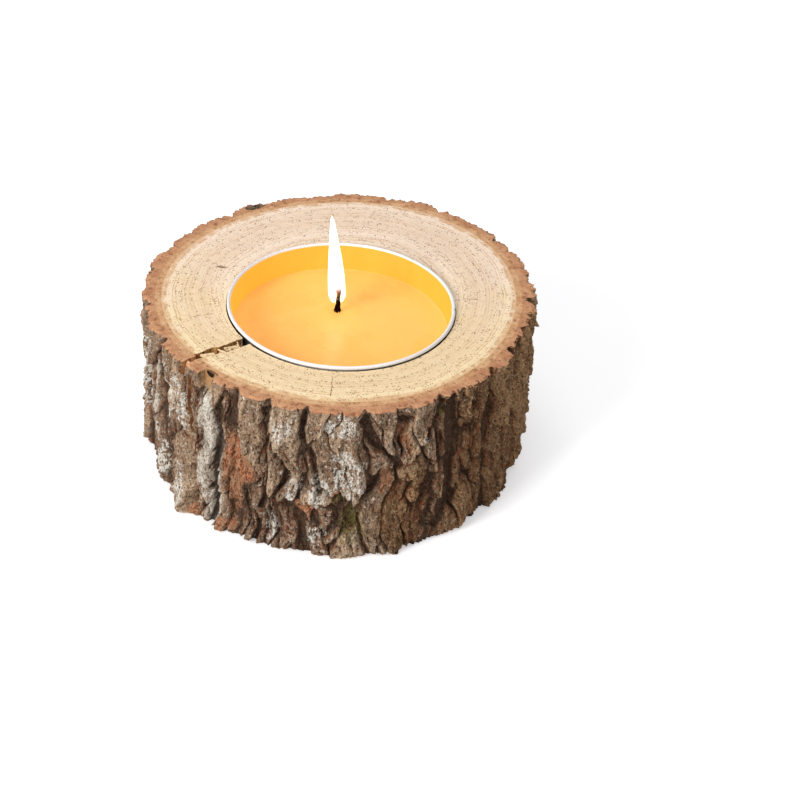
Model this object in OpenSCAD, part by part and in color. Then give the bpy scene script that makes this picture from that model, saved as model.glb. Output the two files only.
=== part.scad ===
// Tealight holder cut from a log: a slice of round timber with its bark on, bored out
// for a large tealight, with the tealight burning in the bore.
// Millimetres, +Z up. The origin is the middle of the log on its lower sawn face.

/* [Log slice] */
// Height of the slice between its two sawn faces
slice_h = 45; // [38:1:60]
// Mean radius of the wood under the bark
wood_r = 46; // [43:0.5:60]
// How far the wood's outline is drawn out into an oval
oval_h = 1.3; // [0:0.1:2]
// How far the wood's outline bulges at three places
lobe_h = 0.65; // [0:0.05:1.5]

/* [Bark] */
// Thickness of the living inner bark
inner_bark_t = 1.6; // [1:0.1:3]
// Thickness of the corky outer bark at the bottom of a furrow
furrow_t = 0.8; // [0.5:0.1:2]
// Height of a bark ridge above its furrows
ridge_h = 2.6; // [0:0.1:4]
// Width of the bevelled flank from a furrow up to its ridge
flank_w = 2.4; // [1:0.1:3]

/* [Drying crack] */
// Direction in which the crack runs out from the bore, in degrees
crack_dir = 218; // [200:1:235]
// Width of the crack
crack_w = 2.2; // [1:0.1:3.5]
// Sideways step halfway along the crack
crack_jog = 0.8; // [0:0.1:1.5]
// Share of the way from the bore to the bark at which the crack steps.
crack_jog_at = 0.45; // [0.2:0.05:0.8]
// Depth of the crack below the top face
crack_depth = 25; // [10:1:32]

/* [Beetle hole] */
// Diameter of the hole a beetle left in the bark
beetle_d = 2.4; // [1.5:0.1:3]
// Depth of the beetle hole
beetle_depth = 7; // [3:1:15]
// Direction of the beetle hole from the log's middle, in degrees
beetle_dir = 231; // [228:1:236]

/* [Bore for the tealight] */
// Gap all round between the cup's rim and the bore
rim_clearance = 0.5; // [0.3:0.1:1.5]
// How far the cup's rim stands above the wood
rim_proud = 1; // [0:0.1:3]
// How far forward of the log's middle the bore is
bore_forward = 5.2; // [0:0.1:6]

/* [Tealight cup] */
// Diameter over the rolled rim
cup_d = 58; // [48:0.5:62]
// Height of the cup
cup_h = 24; // [16:0.5:30]
// Thickness of the cup's aluminium sheet
cup_t = 0.3; // [0.2:0.05:0.6]
// Diameter of the rolled bead at the rim
bead_d = 1.2; // [0.9:0.1:2]
// How much narrower the cup's radius is at its floor
cup_draft = 0.6; // [0:0.1:1.5]

/* [Wax and wick] */
// Depth of the wax surface below the rim
wax_drop = 7.6; // [2:0.1:10]
// Diameter of the wick
wick_d = 1.6; // [1.2:0.1:2.2]
// Length of wick that stands out of the wax
wick_out = 7.3; // [4:0.1:10]
// How far the wick has drifted back from the cup's middle
wick_back = 7.3; // [0:0.1:12]
// How far the wick has drifted to the left of the cup's middle
wick_left = 1; // [0:0.1:4]
// Diameter of the tin foot that holds the wick upright
foot_d = 14; // [10:0.5:18]
// Height of the collar on the foot
collar_h = 4; // [2:0.5:6]

/* [Flame] */
// Height of the flame
flame_h = 26.5; // [15:0.5:35]
// Width of the flame at its widest
flame_w = 4.5; // [3.5:0.1:7]
// How far above the wax the flame starts
flame_lift = 3.2; // [2:0.1:4]
// How far the flame leans, in degrees
flame_lean = 6; // [0:1:10]

/* [Hidden] */

// The fine facets of the round fits, and the far smaller ones of the bead, wick and flame.
fit_fn = 96;
small_fn = 48;
// A hair of extra length that carries a cut clear through a face.
over = 1;

// The furrows of the bark, as directions from the log's middle in degrees.
furrow_dirs = [2, 20, 37, 60, 77, 101, 114, 130, 156, 171, 190, 209, 223, 241, 251, 262, 278,
               300, 321, 333, 346, 354];
// Directions in which the oval and the three bulges point.
oval_dir = 63;
lobe_dir = 50;
// Steps between the points of a smooth outline and of the ridged one, in degrees.
wood_step = 3;
bark_step = 1.5;

// The bore follows the cup that stands in it.
bore_r = cup_d / 2 + rim_clearance;
bore_depth = cup_h - rim_proud;
bore_floor = slice_h - bore_depth;
bore_y = -bore_forward;

// The cup's wall stands just inside its rolled bead.
wall_top_r = cup_d / 2 - bead_d + cup_t;
wall_floor_r = wall_top_r - cup_draft;
wax_top = cup_h - wax_drop;

// Thickness of the foot's sheet and of its collar.
foot_t = 0.3;
collar_t = 0.4;

// Where the wick leaves the wax, counted from the foot that it stands in.
wick_stem = wax_top - cup_t;

// The wick above the wax: the stem's end, the neck, the knob and its blunt tip, as shares of the
// length that stands out of the wax, and the radii of the last three as shares of the wick's.
stem_share = 0.25;
neck_share = 0.68;
knob_share = 0.82;
tip_share = 0.95;
neck_r_share = 0.55;
knob_r_share = 0.95;
tip_r_share = 0.8;

// The flame's outline: see flame_r.
flame_belly = 0.6;
flame_fullness = 0.6;
flame_steps = 24;

// A crack that leaves the bore and runs out past the bark.
crack_start = bore_r - over;
crack_end = 2 * wood_r;
crack_mid = bore_r + (wood_r - bore_r) * crack_jog_at;

// Radius of the wood in direction a.
function wood_edge(a) = wood_r + oval_h * cos(2 * (a - oval_dir)) + lobe_h * cos(3 * (a - lobe_dir));

// Smallest turn between two directions, from 0 to 180 degrees.
function turn(a, b) = 180 - abs(180 - (a - b + 720) % 360);

// Share of the full ridge height in direction a: 0 in a furrow, 1 on a ridge.
function ridge(a) =
    let (gap = min([for (f = furrow_dirs) turn(a, f)]) * wood_r * PI / 180)
    let (slope = min(1, gap / flank_w))
    slope * (2 - slope);

function inner_bark_edge(a) = wood_edge(a) + inner_bark_t;
function outer_bark_edge(a) = inner_bark_edge(a) + furrow_t + ridge_h * ridge(a);

// An outline point at radius r in direction a.
function polar(r, a) = [r * cos(a), r * sin(a)];

// Radius of the flame at height share t, from 0 at its foot to 1 at its tip. The fullness sets
// how blunt its ends are, and the belly how low down it is widest.
function flame_r(t) = flame_w / 2 * pow(sin(180 * pow(t, flame_belly)), flame_fullness);

module wood_outline() {
    polygon([for (a = [0 : wood_step : 359]) polar(wood_edge(a), a)]);
}

module inner_bark_outline() {
    polygon([for (a = [0 : wood_step : 359]) polar(inner_bark_edge(a), a)]);
}

module outer_bark_outline() {
    polygon([for (a = [0 : bark_step : 359]) polar(outer_bark_edge(a), a)]);
}

// Moves its children from the log's middle to the middle of the bore's floor.
module in_bore() {
    translate([0, bore_y, bore_floor]) children();
}

// Moves its children from the middle of the cup's floor to the wick.
module at_wick() {
    in_bore() translate([-wick_left, wick_back, 0]) children();
}

// The drying crack, stepped halfway along, as the solid that it takes away.
module crack_cut() {
    translate([0, bore_y, slice_h - crack_depth])
        rotate([0, 0, crack_dir])
            linear_extrude(crack_depth + over)
                polygon([
                    [crack_start, -crack_w / 2],
                    [crack_mid, -crack_w / 2],
                    [crack_mid + crack_jog, -crack_w / 2 - crack_jog],
                    [crack_end, -crack_w / 2 - crack_jog],
                    [crack_end, crack_w / 2 - crack_jog],
                    [crack_mid + crack_jog, crack_w / 2 - crack_jog],
                    [crack_mid, crack_w / 2],
                    [crack_start, crack_w / 2],
                ]);
}

// The beetle's hole, at the seam between the inner and the outer bark.
module beetle_cut() {
    place = polar(inner_bark_edge(beetle_dir) + furrow_t, beetle_dir);
    translate([place[0], place[1], slice_h - beetle_depth])
        cylinder(h = beetle_depth + over, d = beetle_d, $fn = small_fn);
}

// Sapwood and heartwood, bored from above for the cup.
module wood_disc() {
    color("navajowhite")
        difference() {
            linear_extrude(slice_h) wood_outline();
            in_bore() cylinder(h = bore_depth + over, r = bore_r, $fn = fit_fn);
            crack_cut();
            beetle_cut();
        }
}

// Living inner bark, a thin ring that hugs the wood.
module inner_bark() {
    color("peru")
        difference() {
            linear_extrude(slice_h)
                difference() {
                    inner_bark_outline();
                    wood_outline();
                }
            crack_cut();
            beetle_cut();
        }
}

// Corky outer bark, ridged and furrowed along the log.
module outer_bark() {
    color("dimgray")
        difference() {
            linear_extrude(slice_h)
                difference() {
                    outer_bark_outline();
                    inner_bark_outline();
                }
            crack_cut();
            beetle_cut();
        }
}

// Drawn aluminium cup with a rolled bead at its rim.
module candle_cup() {
    bead_r = bead_d / 2;
    color("silver")
        in_bore() {
            rotate_extrude($fn = fit_fn)
                polygon([
                    [0, 0],
                    [wall_floor_r, 0],
                    [wall_top_r, cup_h - bead_r],
                    [wall_top_r - cup_t, cup_h - bead_r],
                    [wall_floor_r - cup_t, cup_t],
                    [0, cup_t],
                ]);
            rotate_extrude($fn = fit_fn)
                translate([cup_d / 2 - bead_r, cup_h - bead_r])
                    circle(r = bead_r, $fn = small_fn);
        }
}

// The tin foot: a disc on the cup's floor with a collar round the wick.
module foot_shape() {
    cylinder(h = foot_t, d = foot_d, $fn = small_fn);
    cylinder(h = collar_h, d = wick_d + 2 * collar_t, $fn = small_fn);
}

// The wick's own shape: a stem that necks in above the wax and ends in a charred knob.
module wick_shape() {
    wick_r = wick_d / 2;
    rotate_extrude($fn = small_fn)
        polygon([
            [0, 0],
            [wick_r, 0],
            [wick_r, wick_stem + wick_out * stem_share],
            [wick_r * neck_r_share, wick_stem + wick_out * neck_share],
            [wick_r * knob_r_share, wick_stem + wick_out * knob_share],
            [wick_r * tip_r_share, wick_stem + wick_out * tip_share],
            [0, wick_stem + wick_out],
        ]);
}

// Wax in the cup, melted level, closed round the foot and the wick.
module wax() {
    wax_top_r = wall_floor_r - cup_t + cup_draft * (wax_top - cup_t) / (cup_h - bead_d / 2 - cup_t);
    color("orange")
        difference() {
            in_bore()
                rotate_extrude($fn = fit_fn)
                    polygon([
                        [0, cup_t],
                        [wall_floor_r - cup_t, cup_t],
                        [wax_top_r, wax_top],
                        [0, wax_top],
                    ]);
            at_wick() translate([0, 0, cup_t]) {
                foot_shape();
                wick_shape();
            }
        }
}

// Cotton wick, standing in the foot's collar.
module wick() {
    color("black")
        at_wick() translate([0, 0, cup_t]) wick_shape();
}

// Tin foot, bored for the wick.
module wick_foot() {
    color("gainsboro")
        at_wick() translate([0, 0, cup_t])
            difference() {
                foot_shape();
                translate([0, 0, -over]) cylinder(h = collar_h + 2 * over, d = wick_d, $fn = small_fn);
            }
}

// The flame, a slender drop that stands round the tip of the wick.
module flame() {
    color("lightyellow")
        difference() {
            at_wick() translate([0, 0, wax_top + flame_lift])
                rotate([0, -flame_lean, 0])
                    rotate_extrude($fn = small_fn)
                        polygon(concat(
                            [[0, 0]],
                            [for (i = [1 : flame_steps - 1]) [flame_r(i / flame_steps), flame_h * i / flame_steps]],
                            [[0, flame_h]]
                        ));
            at_wick() translate([0, 0, cup_t]) wick_shape();
        }
}

wood_disc();
inner_bark();
outer_bark();
candle_cup();
wax();
wick();
wick_foot();
flame();
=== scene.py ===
"""Builds the finished pieces of a tealight holder cut from a log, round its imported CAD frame."""

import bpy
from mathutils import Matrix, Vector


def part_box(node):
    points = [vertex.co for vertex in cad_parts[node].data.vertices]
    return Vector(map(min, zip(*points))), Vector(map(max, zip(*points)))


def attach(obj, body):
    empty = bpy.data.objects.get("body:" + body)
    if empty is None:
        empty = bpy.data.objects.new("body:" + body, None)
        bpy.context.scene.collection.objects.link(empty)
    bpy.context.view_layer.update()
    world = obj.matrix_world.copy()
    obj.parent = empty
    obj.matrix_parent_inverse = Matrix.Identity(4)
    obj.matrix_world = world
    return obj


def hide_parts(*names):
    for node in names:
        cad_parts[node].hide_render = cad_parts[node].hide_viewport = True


bl_info = {
    "name": "Tealight Holder Log Slice",
    "version": (1, 0, 0),
    "blender": (4, 5, 0),
    "location": "3D View > Sidebar > Tealight Holder",
    "description": "Builds a bored log slice with its bark and a burning tealight",
    "category": "Object",
}

import math

import bmesh
import bpy
from bpy.props import FloatProperty, FloatVectorProperty, PointerProperty
from mathutils import Matrix, Vector, noise

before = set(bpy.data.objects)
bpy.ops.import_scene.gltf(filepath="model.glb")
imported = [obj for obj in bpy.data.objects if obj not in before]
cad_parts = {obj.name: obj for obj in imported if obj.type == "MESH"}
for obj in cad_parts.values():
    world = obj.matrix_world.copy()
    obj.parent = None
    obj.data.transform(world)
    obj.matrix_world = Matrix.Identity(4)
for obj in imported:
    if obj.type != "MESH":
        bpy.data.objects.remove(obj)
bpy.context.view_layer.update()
# The noise that bends the plates of bark and frays the fibres is the same in every run.
noise.seed_set(3)

# Everything is modelled in millimetres and brought to metres at the end.
MM = 0.001
# Faces that meet at more than this angle are shaded with a sharp edge.
SHARP_ANGLE = math.radians(52)

WOOD_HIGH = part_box("wood_disc")[1]
CUP_LOW, CUP_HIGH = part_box("candle_cup")
WAX_LOW, WAX_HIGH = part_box("wax")
WICK_LOW, WICK_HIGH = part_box("wick")
FLAME_LOW, FLAME_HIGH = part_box("flame")

SLICE_H = WOOD_HIGH.z / MM
CUP_MIDDLE = (CUP_LOW + CUP_HIGH) / 2 / MM
CUP_FLOOR_Z = CUP_LOW.z / MM
CUP_TOP_Z = CUP_HIGH.z / MM
WAX_TOP_Z = WAX_HIGH.z / MM
WICK_MIDDLE = (WICK_LOW + WICK_HIGH) / 2 / MM
WICK_TOP_Z = WICK_HIGH.z / MM

# Directions from the log's middle, in degrees, in which the oval and the three bulges of the
# wood point, and in which its drying crack runs out through the bark.
OVAL_DIR = 63
LOBE_DIR = 50
SEAM_DIR = 222.1
# The crack's own direction, from the middle of the bore, and where along it the crack steps.
CRACK_DIR = 218
CRACK_STEP_AT = 37
# The furrows that run down the bark, as directions from the log's middle.
FURROW_DIRS = [2, 20, 37, 60, 77, 101, 114, 130, 156, 171, 190, 209, 222.1, 241, 251, 262, 278,
               300, 321, 333, 346, 354]
# The bark is split into pieces along four of its furrows.
BARK_PIECES = {
    "bark_front": (SEAM_DIR, 321),
    "bark_right": (321, 420),
    "bark_back": (420, 490),
    "bark_left": (490, SEAM_DIR + 360),
}
# Grooves between plates of bark: width and depth in millimetres, and the places that each one
# passes through, as directions and heights.
GROOVES = [
    (1.7, 2.8, [(236, 37), (235, 30), (233, 20), (232, 8), (231, -2)]),
    (0.9, 2.0, [(234, 36), (240, 34), (248, 34)]),
    (1.2, 2.4, [(250, 42), (254, 33), (257, 25), (254, 17), (250, 12)]),
    (1.1, 2.2, [(262, 46), (261, 38), (265, 30), (266, 20)]),
    (1.0, 2.0, [(254, 16), (260, 14), (266, 17), (272, 14)]),
    (1.6, 2.8, [(277, 42), (281, 34), (286, 27)]),
    (1.2, 2.4, [(301, 43), (297, 34), (291, 29), (286, 27)]),
    (1.9, 3.0, [(286, 27), (280, 24), (276, 17), (275, 10)]),
    (2.2, 3.0, [(304, 43), (306, 30), (305, 18), (303, 5)]),
    (0.6, 1.0, [(308, 33), (313, 31), (317, 33)]),
    (1.0, 2.2, [(210, 46), (207, 33), (211, 24), (214, 10)]),
    (0.6, 1.2, [(214, 25), (219, 23), (224, 24)]),
    (1.0, 2.4, [(227, 27), (230, 24), (235, 25)]),
    (1.0, 2.4, [(226, 13), (229, 12), (234, 15)]),
    (1.2, 2.2, [(243, 24), (245, 15), (248, 8), (247, -2)]),
    (1.0, 2.0, [(262, 14), (262, 6), (265, -2)]),
]
# Patches on the weathered bark: what they are, their direction and height, and how far they
# spread round and up, in millimetres.
PATCHES = [
    ("pale", 230.5, 20, 4.8, 23),
    ("pale", 186, 30, 1.6, 12),
    ("pale", 204, 24, 1.5, 14),
    ("pale", 197, 30, 1.4, 10),
    ("pale", 211, 30, 1.6, 12),
    ("lichen", 192, 26, 6.0, 14),
    ("lichen", 218, 33, 3.4, 8),
    ("lichen", 207, 9, 3.2, 5),
    ("lichen", 217, 9, 2.6, 6),
    ("lichen", 231, 33, 2.0, 9),
    ("lichen", 256, 39, 2.6, 3),
    ("lichen", 259, 21, 3.0, 5),
    ("lichen", 266, 21, 3.0, 6),
    ("lichen", 271, 41, 4.5, 4),
    ("lichen", 273, 27, 4.0, 8),
    ("lichen", 252, 7, 3.0, 5),
    ("lichen", 266, 6, 3.2, 3),
    ("lichen", 296, 33, 2.0, 4),
    ("lichen", 95, 20, 8.0, 12),
    ("lichen", 150, 28, 9.0, 9),
    ("rust", 239.5, 20, 3.4, 13),
    ("rust", 243, 20, 3.2, 5),
    ("rust", 237, 3, 3.4, 2.6),
    ("rust", 222, 2, 2.6, 1.6),
    ("rust", 289, 35, 1.9, 4.5),
    ("rust", 283, 23, 1.6, 3.4),
    ("rust", 264, 14, 2.6, 2.2),
    ("rust", 270, 20, 1.2, 1.4),
    ("rust", 60, 24, 3.0, 8),
    ("rust", 172, 16, 2.4, 7),
    ("rust", 20, 12, 2.4, 6),
    ("moss", 271, 18, 2.0, 2.6),
    ("moss", 276, 10, 4.5, 6),
    ("moss", 301, 40, 2.0, 2.0),
    # The last two patches darken the right side of the bark, away from the key lamp, as painted
    # shade. They also thin out its lichen.
    ("damp", 335, 22, 34, 60),
    ("damp", 292, 12, 8, 20),
]
# A dark hollow in the cut bark: direction, and its reach along and across the bark in millimetres.
HOLLOW = (120.5, 3.2, 1.5)
# Where the beetle's gallery lies, as a direction, and how deep it runs from the top.
BEETLE_DIR = 230.5
BEETLE_DEPTH = 6.2
# The mean radii of both barks, and how many millimetres a degree spans on the outer one.
BARK_RADIUS = 50
INNER_BARK_RADIUS = 48
DEGREE = math.radians(BARK_RADIUS)
# How far below the sawn face the chips along its edge reach.
CHIP_DEPTH = 0.75
# How many degrees the wick's strands turn in a millimetre of its height.
WICK_TWIST = 46
# Fine radial checks in the sawn wood: direction, and how far from the middle it starts and ends.
CHECKS = [(268, 34.5, 45.5), (274, 32.5, 34.8), (1, 30.5, 35.5), (200, 33.5, 39.8), (95, 37, 41)]


# ---------------------------------------------------------------- sizes and colours


def size(name, description, millimetres):
    """A length that a user may change, kept in metres as Blender keeps it."""
    return FloatProperty(
        name=name,
        description=description,
        default=millimetres * MM,
        min=0,
        precision=4,
        subtype="DISTANCE",
        unit="LENGTH",
    )


def linear(code):
    """The linear colour of a #rrggbb code."""
    shares = [int(code[place : place + 2], 16) / 255 for place in (1, 3, 5)]
    return [s / 12.92 if s <= 0.04045 else ((s + 0.055) / 1.055) ** 2.4 for s in shares] + [1]


def colour(name, description, code):
    """A colour that a user may change."""
    return FloatVectorProperty(
        name=name,
        description=description,
        default=linear(code),
        size=4,
        min=0,
        max=1,
        subtype="COLOR",
    )


class LogSizes(bpy.types.PropertyGroup):
    """Sizes of the log slice and its bark"""

    wood: size("Wood radius", "Mean radius of the wood under the bark", 46)
    oval: size("Oval", "How far the wood is drawn out into an oval", 1.3)
    lobe: size("Bulges", "How far the wood bulges at three places", 0.65)
    inner: size("Inner bark", "Thickness of the living inner bark", 1.6)
    furrow: size("Furrow", "Thickness of the outer bark at the bottom of a furrow", 0.8)
    ridge: size("Ridge", "Height of a bark ridge above its furrows", 2.6)
    flank: size("Flank", "Width of a furrow's sloping flank", 2.2)
    bore: size("Bore radius", "Radius of the bore that takes the tealight", 29.2)
    crack: size("Crack", "Width of the drying crack", 2.6)
    crack_step: size("Crack step", "Sideways step halfway along the crack", 0.8)
    beetle: size("Beetle hole", "Radius of the hole a beetle left in the bark", 2.2)


class TealightSizes(bpy.types.PropertyGroup):
    """Sizes of the tealight"""

    sheet: size("Cup sheet", "Thickness of the cup's aluminium sheet", 0.3)
    bead: size("Rim bead", "Diameter of the rolled bead at the rim", 0.95)
    wall: size("Cup wall", "Outer radius of the wall under the rim", 28.1)
    draft: size("Cup draft", "How much narrower the cup's radius is at its floor", 0.6)
    strand: size("Wick strand", "Radius of one strand of the wick", 0.36)
    meniscus: size("Meniscus", "How far the melted wax climbs its wall", 0.25)


class LogColours(bpy.types.PropertyGroup):
    """Colours of the log slice"""

    wood: colour("Wood", "Pale early wood", "#fce5bb")
    ring: colour("Ring", "Darker late wood at the end of each ring", "#cf9f68")
    torn: colour("Torn wood", "Raw wood in the crack", "#d6a86a")
    cut: colour("Cut bark", "Outer bark where the saw cut it", "#c08a66")
    inner: colour("Cut inner bark", "Inner bark where the saw cut it", "#d09c70")
    bark: colour("Bark", "Weathered outer bark", "#bf9e80")
    shade: colour("Furrow", "Bark deep in its furrows", "#3a281b")
    pale: colour("Pale bark", "Bleached plates of bark", "#ece1d1")
    rust: colour("Scar", "Fresh scars on the bark", "#c46a3c")
    lichen: colour("Lichen", "Lichen on the bark", "#f9f4e9")
    moss: colour("Moss", "Moss low on the bark", "#77702e")


class TealightColours(bpy.types.PropertyGroup):
    """Colours of the tealight"""

    # The rim's near-white is partly a painted highlight on the bright aluminium.
    metal_and_highlight: colour("Aluminium", "Bright sheet of the cup", "#f6f6f8")
    # The inner wall's colour is a painted reflection of the wax.
    painted_reflection: colour("Waxed wall", "Cup wall seen through a film of wax", "#b4702a")
    wax: colour("Wax", "Melted beeswax", "#f0b05b")
    char: colour("Char", "Charred cotton", "#140506")
    ember: colour("Ember", "Glowing tip of the wick", "#ff5a38")
    tin: colour("Tinplate", "Pressed foot of the wick", "#c4c6c8")
    flame: colour("Flame", "Body of the flame", "#fffdf4")
    flame_edge: colour("Flame ends", "Cooler foot and tip of the flame", "#fff1c4")


# ---------------------------------------------------------------- the log's shape


def smooth(low, high, value):
    """0 at low, 1 at high, with an easy turn at both."""
    share = min(1, max(0, (value - low) / (high - low)))
    return share * share * (3 - 2 * share)


def turn(a, b):
    """Signed turn from direction b to direction a, from -180 to 180 degrees."""
    return (a - b + 180) % 360 - 180


def polar(radius, direction, height=0):
    """A point at that radius and direction from the log's middle."""
    angle = math.radians(direction)
    return Vector((radius * math.cos(angle), radius * math.sin(angle), height))


def grain(place, scale, seed=0, octaves=3):
    """Soft noise, about -1 to 1, with bumps of that size in millimetres."""
    return noise.fractal(place / scale + Vector((seed, seed, seed)), 0.9, 2.1, octaves)


def wood_edge(direction):
    """Radius of the wood in a direction from the log's middle."""
    log = bpy.context.scene.log_sizes
    oval = log.oval * math.cos(math.radians(2 * (direction - OVAL_DIR)))
    lobe = log.lobe * math.cos(math.radians(3 * (direction - LOBE_DIR)))
    return (log.wood + oval + lobe) / MM


def inner_bark_edge(direction):
    """Outer radius of the inner bark in a direction from the log's middle."""
    return wood_edge(direction) + bpy.context.scene.log_sizes.inner / MM


def wander(direction, height):
    """How far, in degrees, the bark's furrows stray from upright at that height."""
    free = smooth(SLICE_H, SLICE_H - 14, height)
    stray = 3.0 * grain(polar(BARK_RADIUS, direction, height * 1.6), 24, 5, 2)
    fissure = 5.5 * smooth(SLICE_H, 27, height) * math.exp(-abs(turn(direction, SEAM_DIR)) / 9)
    return free * stray + fissure


def groove_gap(path, direction, height):
    """Distance in millimetres over the bark from a place to a groove's path."""
    best = math.inf
    for (a, low), (b, high) in zip(path, path[1:]):
        along = Vector((turn(b, a) * DEGREE, high - low))
        to = Vector((turn(direction, a) * DEGREE, height - low))
        share = min(1, max(0, to.dot(along) / along.length_squared))
        best = min(best, (to - along * share).length)
    return best


def patch_share(patch, direction, height):
    """How much of a patch lies at a place on the bark, from 0 to 1."""
    middle, level, spread, rise = patch[1:]
    across = turn(direction, middle) * DEGREE / spread
    up = (height - level) / rise
    return smooth(1.3, 0.5, math.hypot(across, up))


def patches_at(direction, height):
    """How much of each kind of patch lies at a place on the bark."""
    kinds = dict.fromkeys(("lichen", "rust", "pale", "moss", "damp"), 0)
    for patch in PATCHES:
        kind, middle = patch[:2]
        if abs(turn(direction, middle)) < 50:
            kinds[kind] = max(kinds[kind], patch_share(patch, direction, height))
    return kinds


def furrow_share(direction, width, top):
    """0 in the nearest furrow, 1 on a ridge. At the top face some furrows are shallower."""
    gap, furrow = min((abs(turn(direction, furrow)), furrow) for furrow in FURROW_DIRS)
    rise = min(1, gap * DEGREE / width)
    shallow = top * (0.05 + 0.7 * noise.cell(Vector((furrow * 7.3, 1, 1))))
    return 1 - (1 - rise * (2 - rise)) * (1 - shallow)


def terrace(value, step):
    """Value drawn towards steps of that height, as flaking layers lie."""
    layer = math.floor(value / step)
    return step * (layer + smooth(0.35, 0.75, value / step - layer))


def plates(place, cell, stretch, bend, seed):
    """Plates of cracked bark: how far a place is from their edge, a tone for its plate, and its
    height above the plate's middle, in millimetres."""
    shift = noise.noise_vector(place / cell * 1.1 + Vector((seed, 0, 0))) * bend
    stretched = Vector((place.x, place.y, place.z / stretch)) + shift
    gaps, middles = noise.voronoi(stretched / cell)
    tone = noise.cell(middles[0] * 37)
    return (gaps[1] - gaps[0]) * cell, tone, (stretched.z - middles[0].z * cell) * stretch


def groove_depth(place, direction, height):
    """Depth in millimetres of the deepest groove at a place on the bark."""
    deepest = 0
    for width, depth, path in GROOVES:
        if min(abs(turn(direction, spot[0])) for spot in path) < 9:
            gap = groove_gap(path, direction, height) + 0.4 * grain(place, 1.8, 9, 3)
            deepest = max(deepest, depth * smooth(width, width * 0.3, gap))
    return deepest


def bark_surface(direction, height):
    """Thickness of the outer bark in millimetres, and its finish, at a place on its side."""
    log = bpy.context.scene.log_sizes
    place = polar(BARK_RADIUS, direction, height)
    upright = Vector((place.x, place.y, place.z / 4))
    top = smooth(SLICE_H - 5, SLICE_H, height)
    free = 1 - 0.45 * top
    flank = log.flank / MM
    ridge = furrow_share(direction + 1.5 * grain(place, 5, 3, 4) * (1 - 0.7 * top), flank, top)
    # Beside the open crack the bark keeps its full thickness.
    ridge = max(ridge, smooth(5, 3, abs(turn(direction, SEAM_DIR))) * smooth(16, 24, height))

    # Large and small plates, and the fine cracks between them.
    split, tone, above = plates(place, 6.8, 3.2, 1.5, 0)
    small_split, small_tone, small_above = plates(place, 2.7, 2.2, 0.9, 5)
    split_share = smooth(0.08, 0.55, split)
    small_share = smooth(0.0, 0.32, small_split)
    groove = groove_depth(place, direction, height)

    kinds = patches_at(direction, height)
    scar = kinds["rust"] * smooth(-0.8, -0.25, grain(place, 2.6, 15, 2))

    # Each plate stands at its own height, tilts a little and flakes in layers.
    lift = grain(Vector((place.x, place.y, place.z / 5)), 9, 101, 2)
    plate = (tone - 0.5) * 1.1 - 0.035 * above
    small_plate = (small_tone - 0.5) * 0.55 - 0.05 * small_above
    layers = terrace(0.5 * grain(place, 8, 21, 2) + 0.8 * grain(upright, 3.4, 61, 3), 0.42)
    pits = max(0, grain(place, 1.0, 51, 3) - 0.1)
    rough = 0.24 * grain(place, 1.6, 41, 5) + 0.3 * grain(upright, 0.9, 31, 3) - 0.5 * pits

    # The right side has deeper furrows, and the left side flares towards the top.
    deeper = smooth(40, 20, abs(turn(direction, 340)))
    lift -= 1.2 * deeper * (1 - ridge)
    lift += smooth(34, 8, abs(turn(direction, 180))) * (2.2 * smooth(12, 34, height) - 1.1)
    thick = (log.furrow + log.ridge * ridge) / MM + ridge * lift * (1 - 0.3 * top)
    thick += free * ridge * (plate + small_plate + layers)
    thick -= free * ridge * (1.1 * (1 - split_share) + 0.4 * (1 - small_share))
    thick += rough * (0.5 + 0.5 * ridge)
    thick -= 0.7 * scar * ridge * (1 - top)
    thick -= groove * (0.3 + 0.7 * ridge) * (1 - 0.5 * top)
    # The cut bark thins out on the right, and the foot of the log is worn.
    thin = 0.9 * smooth(13, 6, abs(turn(direction, 345))) * top
    thick = max(0.35, thick - thin * ridge)
    thick -= 0.9 * smooth(1.6, 0, height - 0.8 * grain(place, 3, 71, 2)) * ridge

    relief = smooth(0.2, 3.2, thick) * (1 - 0.6 * smooth(0.3, 1.8, groove))
    relief *= (0.5 + 0.5 * split_share) * (0.75 + 0.25 * small_share)
    carved = 0
    pipe = beetle_share(direction, height)
    if pipe > 0:
        carved = smooth(0, 0.45, pipe)
        thick = thick * (1 - carved) + 0.15 * carved
        # Near the top the gallery's relief drops to nothing, which the bark's colour turns
        # near-black: a painted shadow in the hole.
        across = turn(direction, BEETLE_DIR - 0.2) * DEGREE
        hole = smooth(1.7, 1.1, math.hypot(across, (SLICE_H - height) / 1.4))
        relief = relief * (1 - carved) + carved * (1 - hole)
    return max(0.15, thick), {
        "relief": relief,
        "tone": 0.6 * tone + 0.4 * small_tone,
        "lichen": kinds["lichen"],
        "rust": scar,
        "pale": kinds["pale"],
        "moss": kinds["moss"],
        "damp": kinds["damp"],
        "fresh": carved,
    }


def beetle_share(direction, height):
    """1 inside the beetle's open gallery in the bark, 0 outside it."""
    radius = bpy.context.scene.log_sizes.beetle / MM
    across = abs(turn(direction, BEETLE_DIR)) * DEGREE
    deep = SLICE_H - height
    if across > radius * 1.05:
        return 0
    rounded = math.sqrt(max(0, 1 - (across / radius / 1.05) ** 2))
    return rounded * smooth(BEETLE_DEPTH, BEETLE_DEPTH - 3, deep)


# ---------------------------------------------------------------- mesh helpers


def start_mesh(*layers):
    """An empty bmesh with those float layers on its vertices."""
    bm = bmesh.new()
    return bm, [bm.verts.layers.float.new(layer) for layer in layers]


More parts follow.
